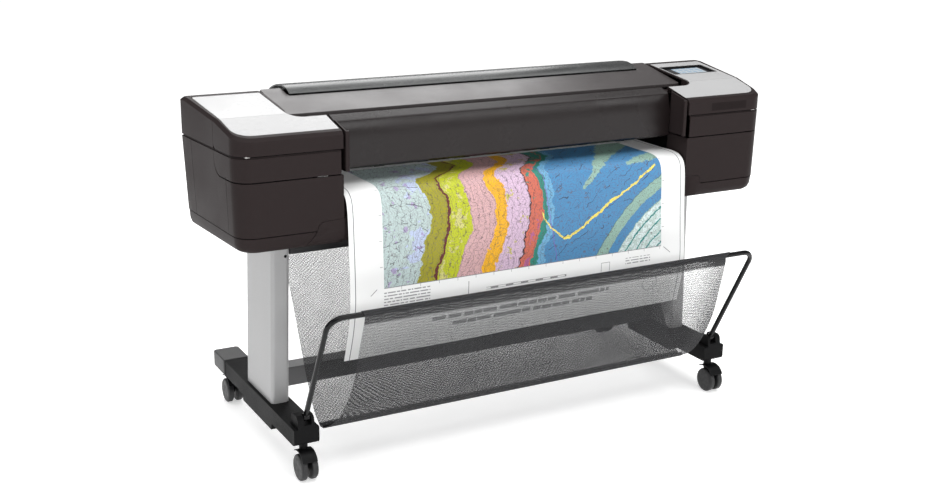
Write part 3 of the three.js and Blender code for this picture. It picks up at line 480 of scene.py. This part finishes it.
def map_shapes(paint, x, hang, flat, broad, mid, ragged):
    """The map's coloured areas: bands, then pale streaks, rings and a yellow line over the blue one."""
    shift = (hang.ramp(0.19, MAP_FOOT, 0.042, 0.0) + hang.ramp(0.06, 0.16, -0.022, 0.0)
             + hang.ramp(-0.09, 0.075, 0.125, 0.0))
    band = x - shift + broad * 0.05 + mid * 0.045 + ragged * 0.016
    colour = colour_bands(paint, band)

    lilac = (mid + broad * 0.5 > 0.02) * band.within(-0.43, -0.356) * (hang < 0.30)
    colour = paint.mix(lilac * 0.9, colour, (0.50, 0.58, 0.78))
    violet = (paint.noise(34, 2, 0.5, flat) > 0.645) * (band < -0.356)
    colour = paint.mix(violet * 0.7, colour, (0.36, 0.25, 0.50))
    buff = (mid - ragged * 0.6 > 0.085) * band.within(-0.29, -0.24)
    colour = paint.mix(buff, colour, (0.62, 0.60, 0.20))
    gold = (mid + ragged * 0.6 > 0.11) * band.within(-0.105, -0.036)
    colour = paint.mix(gold, colour, (0.55, 0.50, 0.10))
    rose = (ragged + mid > 0.02) * band.within(-0.012, 0.005) * (hang > 0.19)
    colour = paint.mix(rose, colour, (0.44, 0.12, 0.27))
    wedge = (mid + ragged * 0.4 - (hang - 0.04) * 0.8 > 0.04) * band.within(-0.03, 0.005)
    colour = paint.mix(wedge, colour, (0.016, 0.23, 0.17))

    edge = ragged * 0.035 + mid * 0.03
    rise = 0.140 - hang
    first = (x > rise * 0.714 + 0.186 + edge) * (x < rise * 1.15 + 0.198 + edge) * (rise > 0.0)
    past = x - 0.35
    second = (hang > 0.075 - past * 0.45 + edge) * (hang < 0.088 - past * 0.18 + edge) * (x > 0.352)
    colour = paint.mix(first.most(second), colour, (0.27, 0.44, 0.36))

    far_x, far_y = x - 0.728, hang - 0.635
    reach = (far_x * far_x + far_y * far_y).sqrt() + edge * 0.35
    pale = paint.mix(paint.noise(55, 3, 0.6, flat) > 0.5, (0.50, 0.64, 0.60), (0.66, 0.77, 0.76))
    ringed = paint.mix(((reach - 0.012) * 34).frac() < 0.15, pale, (0.016, 0.24, 0.22))
    colour = paint.mix(reach < 0.571, colour, paint.mix(reach < 0.505, (0.27, 0.44, 0.36), ringed))
    colour = paint.mix(reach.within(0.508, 0.538), colour, (0.066, 0.245, 0.46))
    colour = paint.mix(((reach - 0.571).abs() < 0.0012) * 0.7, colour, (0.05, 0.12, 0.12))

    right, left = (x - 0.141).most(0.0), (0.141 - x).most(0.0)
    river = 0.277 - right * 0.60 - left * left * 9.0 + mid * 0.035 + ragged * 0.018
    colour = paint.mix(((hang - river).abs() < 0.0042) * x.within(0.047, 0.452), colour, (0.84, 0.72, 0.13))
    return colour, band, reach


def map_lines(paint, colour, x, hang, flat, band, reach, broad, mid, ragged):
    """Thin survey lines over the colours: contours, strata, faults and broken traces."""
    ink = (0.045, 0.035, 0.045)
    contour = (broad * 26 + mid * 5).frac() < 0.10
    colour = paint.mix(contour * 0.60, colour, (0.12, 0.09, 0.08))
    level = (mid * 15 + ragged * 3).frac() < 0.11
    colour = paint.mix(level * 0.50, colour, (0.10, 0.07, 0.10))
    fine = (paint.noise(75, 3, 0.6, flat) * 9).frac() < 0.13
    colour = paint.mix(fine * 0.45, colour, (0.16, 0.10, 0.20))
    strata = ((band + mid * 0.012) * 52).frac() < 0.075
    colour = paint.mix(strata * (band < 0.05) * 0.62, colour, ink)
    sweep = hang + x * 0.62 + broad * 0.16
    broken = paint.noise(34, 1, 0.5, flat) > 0.50
    swept = ((sweep * 26).frac() < 0.065) * broken * (band > 0.05) * (reach > 0.571)
    colour = paint.mix(swept * 0.8, colour, ink)
    bow = ((x + 0.42) * (x + 0.42) + (hang - 0.33) * (hang - 0.33)).sqrt() + mid * 0.02
    colour = paint.mix(((bow * 19).frac() < 0.04) * broken * (band < -0.356) * 0.75, colour, ink)
    fault = ((x - 0.052 - (hang - 0.08) * 0.17 + mid * 0.01).abs() < 0.0011) * (hang > 0.02)
    colour = paint.mix(fault * 0.8, colour, (0.20, 0.09, 0.42))
    tick = paint.cells(105, flat) < 0.11
    colour = paint.mix(tick * (paint.noise(20, 1, 0.5, flat) > 0.46) * 0.75, colour, ink)
    return colour


def map_margin(paint, colour, x, hang):
    """The white margin's frame lines, edge ticks, corner marks, scale bar and plain grey rules."""
    ink = (0.05, 0.05, 0.06)
    printed = x.within(*MAP_X)
    colour = paint.mix((((x.abs() - 0.5435).abs() < 0.0011)) * 0.9, colour, ink)
    colour = paint.mix(((hang - MAP_FOOT - 0.001).abs() < 0.0010) * printed * 0.8, colour, ink)
    below = (hang - MAP_FOOT - 0.006).abs() < 0.004
    colour = paint.mix(below * printed * ((x * 17.2).frac() < 0.02) * 0.8, colour, ink)
    beside = ((x - 0.477).abs() < 0.004).most((x + 0.466).abs() < 0.004)
    colour = paint.mix(beside * ((hang * 14).frac() < 0.02) * (hang < MAP_FOOT) * 0.8, colour, ink)
    left_mark = ((hang - 0.346 + (x + 0.480) * 0.85).abs() < 0.0012) * x.within(-0.499, -0.480)
    right_mark = ((hang - 0.350 - (x - 0.480) * 0.85).abs() < 0.0012) * x.within(0.480, 0.505)
    colour = paint.mix(left_mark.most(right_mark) * 0.9, colour, ink)
    bar = x.within(-0.14, 0.13) * ((hang - 0.392).abs() < 0.0022) * ((x * 20).frac() > 0.5)
    thin = x.within(-0.14, 0.13) * (((hang - 0.392).abs() - 0.003).abs() < 0.0006)
    colour = paint.mix(bar.most(thin) * 0.75, colour, ink)
    box_x, box_y = (x - 0.268).abs(), (hang - 0.388).abs()
    box = (box_x < 0.0155) * (box_y < 0.0165) - (box_x < 0.0140) * (box_y < 0.0150)
    colour = paint.mix(box * 0.8, colour, ink)
    star = ((x + 0.197).abs() < 0.001) * (hang - 0.38).within(-0.018, 0.022)
    colour = paint.mix(star * 0.8, colour, ink)

    rows = ((hang - 0.358) * 115).frac() < 0.40
    words = paint.noise(150, 0, 0.5, paint.vector(x, (hang * 115).floor(), 0.0)) > 0.42
    left_note = x.within(-0.459, -0.318) * hang.within(0.358, 0.406)
    right_note = x.within(0.340, 0.430) * hang.within(0.368, 0.390)
    colour = paint.mix(left_note.most(right_note) * rows * words * 0.7, colour, ink)
    upper = x.within(-0.305, 0.290) * ((hang - 0.462).abs() < 0.0062)
    lower = x.within(-0.240, 0.235) * ((hang - 0.486).abs() < 0.0062)
    gaps = paint.noise(60, 0, 0.5, paint.vector(x, (hang > 0.474) * 3.0, 0.0)) > 0.38
    colour = paint.mix(upper.most(lower) * gaps * 0.6, colour, ink)
    ring = (((x - 0.438) * (x - 0.438) + (hang - 0.466) * (hang - 0.466)).sqrt() - 0.026).abs() < 0.0012
    return paint.mix(ring * 0.5, colour, ink)


def map_material():
    """A generic coloured survey map in a plain margin, with no lettering."""
    paint = Paint("printed_paper", 0.42, Specular_IOR_Level=0.25)
    x, hang = paint.attribute("across"), paint.attribute("along") - HANG_START
    flat = paint.vector(x, hang, 0.0)
    broad = paint.noise(7, 3, 0.6, flat) - 0.5
    mid = paint.noise(19, 3, 0.6, flat) - 0.5
    ragged = paint.noise(62, 4, 0.7, flat) - 0.5
    colour, band, reach = map_shapes(paint, x, hang, flat, broad, mid, ragged)
    colour = map_lines(paint, colour, x, hang, flat, band, reach, broad, mid, ragged)
    printed = x.within(*MAP_X) * hang.within(-0.14, MAP_FOOT)
    margin = map_margin(paint, (0.83, 0.835, 0.83), x, hang)
    paint.set("Base Color", paint.mix(printed, margin, colour))
    fibre = paint.noise(700, 3)
    paint.set("Roughness", fibre.ramp(0.3, 0.7, 0.38, 0.50))
    paint.bump(fibre, 0.00003)
    return paint.material


def screen_material():
    """Dark glass with a lit generic menu behind it: rows of blue tiles on a pale panel."""
    paint = Paint("screen_glass", 0.10, Specular_IOR_Level=0.4)
    low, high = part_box("touch_screen")
    shift = NODES["touch_screen"].matrix_world.translation
    x, y = paint.place()[0] + (shift.x - low.x), paint.place()[1] + (shift.y - low.y)
    width, depth = high.x - low.x, high.y - low.y
    column, row = x * (7 / width), y * (4 / depth)
    tiles = column.frac().within(0.12, 0.88) * row.frac().within(0.15, 0.80)
    blues = paint.noise(3, 0, 0.5, paint.vector(column.floor(), row.floor(), 0.0))
    tile = paint.mix(blues, (0.10, 0.32, 0.60), (0.60, 0.78, 0.88))
    panel = paint.mix(tiles * 0.85, (0.74, 0.80, 0.84), tile)
    lit = x.within(width * 0.20, width * 0.88) * y.within(depth * 0.12, depth * 0.88)
    paint.set("Base Color", (0.012, 0.012, 0.014))
    paint.set("Emission Color", paint.mix(lit, (0.0, 0.0, 0.0), panel))
    paint.set("Emission Strength", 0.7)
    return paint.material


# ------------------------------------------------------------------ pieces

def dress_nodes():
    dress(SHELL, 0.0016, *both("side_shell", "front_band", "bottom_pan", "top_cover"), "left_ink_cover")
    dress(LABELLED, 0.0016, "right_ink_cover")
    dress(SHELL, 0.0020, "output_guide", "rear_cover")
    dress(COVER, 0.0024, "front_cover")
    dress(LID, 0.0024, "top_lid")
    dress(SHELL, 0.0010, *both("pillar_trim"))
    dress(SILVER, 0.0008, *both("rear_inlay", "front_inlay"), "power_button")
    dress(ROLL_COVER, 0.0012, "roll_cover")
    dress(BLACK, 0.0012, "display_frame", *both("spindle_holder"))
    dress(BLACK, 0.0015, "platen", "print_carriage", "power_inlet",
          *(f"ink_cartridge_{n}" for n in (1, 2, 3, 4)))
    dress(FOOT, 0.0030, *both("foot"))
    dress(CAP, 0.0040, *both("foot_end_cap"))
    dress(LEG, 0.0012, *both("leg"), angle=40)
    dress(BAR_PAINT, 0.0015, "crossbar", angle=40)
    dress(FRAME_PAINT, 0.0010, "base_frame", "carriage_rail")
    dress(ROD, 0.0010, "basket_frame", "basket_bottom_bar", angle=50)
    ends = [f"{end}_{hand}_caster" for end in ("front", "rear") for hand in ("left", "right")]
    dress(BLACK, 0.0012, *(f"{end}_fork" for end in ends))
    dress(TYRE, 0.0012, *(f"{end}_wheel" for end in ends),
          "drive_roller", "pinch_roller", "drive_belt", angle=40)
    dress(plastic("hub_plastic", (0.02, 0.07, 0.22), 0.4), 0.0015, "roll_spindle", angle=40)
    dress(paper_material(), 0.0006, "paper_roll", angle=40)
    dress(screen_material(), 0.0004, "touch_screen")


def highlight_blocks():
    """Small pale blocks in the open grooves under the ink covers, near the rounded corners: painted
    highlights that stand in for the glints on the edges there.
    """
    for hand, x in (("left", -0.826), ("right", 0.818)):
        low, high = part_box(f"{hand}_front_band")
        block(f"{hand}_highlight_block", (x - TAB_HALF, low.y + TAB_INSET, high.z + TAB_GAP),
              (x + TAB_HALF, low.y + TAB_INSET + TAB_DEPTH, high.z + TAB_GAP + TAB_HEIGHT),
              "chassis", HIGHLIGHT_PALE, bevel=0.0004)


def sheet_line():
    """The printed sheet's side view, how far along it each point is, and its whole length."""
    fall = [(-0.215, 0.788), (-0.250, 0.7879), (-0.279, 0.7824), (-0.299, 0.7674), (-0.308, 0.7414),
            (-0.312, 0.704), (-0.316, 0.640), (-0.323, 0.540), (-0.325, 0.470), (-0.314, 0.396),
            (-0.290, 0.312)]
    hang, hang_length = spaced(fall, HANG_STEPS)
    flat = [Vector((FLAT_BACK - HANG_START * k / FLAT_STEPS, 0.7874)) for k in range(FLAT_STEPS)]
    reached = [HANG_START * k / FLAT_STEPS for k in range(FLAT_STEPS)]
    reached += [HANG_START + hang_length * k / HANG_STEPS for k in range(HANG_STEPS + 1)]
    return [*flat, *hang], reached, HANG_START + hang_length


def curl(x, along, length):
    """How the hanging end waves and swings back, more at its left corner."""
    straight = HANG_START + 0.20
    low = max(0.0, (along - straight) / (length - straight))
    wave = 0.0022 * math.sin(x * 8.5 + 0.7) + 0.0012 * math.sin(x * 19 + 2)
    skew = -x / SHEET_HALF * low * low
    return 0, wave * low * low + 0.017 * skew, -0.012 * skew


def sheet_side(bm, side, columns, line, reached, length):
    """The grid of points on one face of the sheet."""
    across, far = bm.verts.layers.float["across"], bm.verts.layers.float["along"]
    grid = []
    for j, (y, z) in enumerate(line):
        before, after = line[max(j - 1, 0)], line[min(j + 1, len(line) - 1)]
        normal = Vector((-(after - before).y, (after - before).x)).normalized() * -side * SHEET_THICK / 2
        row = []
        for i in range(columns + 1):
            x = SHEET_HALF * (2 * i / columns - 1)
            dx, dy, dz = curl(x, reached[j], length)
            vert = bm.verts.new((x + dx, y + Y0 + dy + normal.x, z + dz + normal.y))
            vert[across], vert[far] = x, reached[j]
            row.append(vert)
        grid.append(row)
    return grid


def printed_sheet():
    """A thin closed solid: printed on one face, plain on the other and on its edges."""
    line, reached, length = sheet_line()
    columns = 56
    bm = bmesh.new()
    for key in ("across", "along"):
        bm.verts.layers.float.new(key)
    top, under = (sheet_side(bm, side, columns, line, reached, length) for side in (1, -1))
    last = len(line) - 1
    for j in range(last):
        for i in range(columns):
            bm.faces.new((top[j][i], top[j][i + 1], top[j + 1][i + 1], top[j + 1][i])).material_index = 0
            turned = (under[j][i], under[j + 1][i], under[j + 1][i + 1], under[j][i + 1])
            bm.faces.new(turned).material_index = 1
        for i in (0, columns):
            bm.faces.new((top[j][i], top[j + 1][i], under[j + 1][i], under[j][i])).material_index = 1
    for j in (0, last):
        for i in range(columns):
            bm.faces.new((top[j][i], top[j][i + 1], under[j][i + 1], under[j][i])).material_index = 1
    bmesh.ops.recalc_face_normals(bm, faces=bm.faces)
    for face in bm.faces:
        face.smooth = True
    for edge in bm.edges:
        if len({f.material_index for f in edge.link_faces}) > 1:
            edge.smooth = False
    mesh = from_bmesh("printed_sheet", bm, map_material())
    mesh.materials.append(paper_material())
    piece = new_object("printed_sheet", mesh, "chassis")
    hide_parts("paper_sheet")


def basket_cloth():
    bar_y, bar_z = -0.4932, 0.5135
    sleeve = []
    for k in range(9):
        angle = math.radians(-70 + 250 * k / 8)
        sleeve.append((bar_y + 0.0094 * math.cos(angle), bar_z + 0.0094 * math.sin(angle)))
    drop = [(-0.5028, 0.500), (-0.4930, 0.470), (-0.4700, 0.400), (-0.4400, 0.306), (-0.3950, 0.222),
            (-0.3500, 0.166), (-0.3070, 0.132), (-0.2790, 0.1175), (-0.2700, 0.1105)]
    path = spaced([*sleeve, *drop], 72)

    def slack(x, along, length):
        share = along / length
        sag = math.sin(math.pi * min(1, max(0, (share - 0.06) / 0.94)))
        ripple = 0.0030 * math.sin(x * 11 + 1.2) + 0.0018 * math.sin(x * 27 + share * 5)
        return 0.0, ripple * sag, 0.0

    def front_slack(x, along, length):
        """The cloth pulls in under its sleeve, most at the right, and spreads to the wider bottom fold."""
        _, dy, dz = slack(x, along, length)
        below = max(0.0, along - 0.03)
        pull = 0.026 * math.exp(-below / 0.14) * min(1.0, below / 0.012) * (1.0 if x > 0 else 0.15)
        spread = (BACK_CLOTH_HALF - CLOTH_HALF) * (along / length) ** 3
        return (spread - pull) * x / CLOTH_HALF, dy, dz

    front = strip("basket_net_front", path, CLOTH_HALF, 84, NET_FRONT, front_slack,
                  doubled=((0, 0.066), (path[1] - 0.02, 9)))
    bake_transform(front, "chassis", "basket", start=(0, -0.285 + Y0, 0.118), end=(0, -0.44 + Y0, 0.33))
    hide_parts("basket_front_sheet")

    back_line = [(-0.2590, 0.1105), (-0.2360, 0.1220), (-0.2050, 0.1500), (-0.1460, 0.2520),
                 (-0.0620, 0.4210), (0.0060, 0.5480), (0.0520, 0.6340)]
    back_path = spaced(back_line, 60)
    back = strip("basket_net_back", back_path, BACK_CLOTH_HALF, 84, NET_BACK, slack,
                 doubled=((0, 0.02), (back_path[1] - 0.03, 9)))
    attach(back, "chassis")
    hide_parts("basket_back_sheet")


# ------------------------------------------------------------------ room

# Where each light stands, where it points, its width and height, and its watts.
SOFTBOXES = {
    "overhead": ((0.0, -0.5, 4.2), (0, -0.5, 0), 6.0, 5.4, 225),
    "back_panel": ((0.75, 3.4, 3.0), (0.2, 0.0, 0.95), 3.5, 2.0, 62),
    "left_key": ((-4.4, -1.6, 1.8), (-0.5, 0, 0.6), 1.6, 2.4, 30),
    "front_fill": ((1.3, -5.5, 2.15), (0, 0, 0.9), 6.2, 0.9, 130),
}


def make_world():
    """White behind the object; a dimmer studio, brighter overhead than low down, lights it."""
    world = bpy.data.worlds.new("studio")
    bpy.context.scene.world = world
    world.use_nodes = True
    tree = world.node_tree
    plain = tree.nodes["Background"]
    plain.inputs[0].default_value = (1.0, 1.0, 1.0, 1.0)
    plain.inputs[1].default_value = 1.0
    graded = tree.nodes.new("ShaderNodeBackground")
    direction = tree.nodes.new("ShaderNodeTexCoord")
    split = tree.nodes.new("ShaderNodeSeparateXYZ")
    height = tree.nodes.new("ShaderNodeMapRange")
    seen = tree.nodes.new("ShaderNodeLightPath")
    pick = tree.nodes.new("ShaderNodeMixShader")
    for key, number in (("From Min", -0.1), ("From Max", 0.9), ("To Min", 0.16), ("To Max", 0.50)):
        height.inputs[key].default_value = number
    for start, end in (
            (direction.outputs["Generated"], split.inputs[0]), (split.outputs["Z"], height.inputs["Value"]),
            (height.outputs[0], graded.inputs["Strength"]), (seen.outputs["Is Camera Ray"], pick.inputs[0]),
            (graded.outputs[0], pick.inputs[1]), (plain.outputs[0], pick.inputs[2]),
            (pick.outputs[0], tree.nodes["World Output"].inputs[0])):
        tree.links.new(start, end)


def softbox(name, place, target, width, height, power):
    data = bpy.data.lights.new(name, "AREA")
    data.shape, data.size, data.size_y, data.energy = "RECTANGLE", width, height, power
    lamp = bpy.data.objects.new(name, data)
    bpy.context.scene.collection.objects.link(lamp)
    lamp.location = place
    lamp.rotation_euler = (Vector(target) - Vector(place)).to_track_quat("-Z", "Y").to_euler()
    lamp.visible_camera = False


def make_room():
    ground = Paint("ground", 0.85)
    ground.set("Base Color", ground.shade((0.90, 0.90, 0.90), 0.01, ground.noise(1.5)))
    x, y = ground.place()[:2]
    # Painted light: the floor glows as well as being lit, at 0.48 near the stand rising to 0.74 from 1 m to
    # 3.2 m out, so the shadows under the stand come out pale and the open floor white.
    ground.set("Emission Color", (1.0, 1.0, 1.0))
    ground.set("Emission Strength", (x * x + y * y).sqrt().ramp(1.0, 3.2, 0.48, 0.74))
    bpy.ops.mesh.primitive_plane_add(size=60, location=(0, 0, 0))
    floor = bpy.context.object
    floor.name = "studio_floor"
    floor.data.materials.append(ground.material)
    make_world()
    for name, setting in SOFTBOXES.items():
        softbox(name, *setting)
    scene = bpy.context.scene
    scene.view_settings.view_transform = "Standard"
    scene.view_settings.look = "None"


make_camera()
dress_nodes()
highlight_blocks()
printed_sheet()
basket_cloth()
make_room()
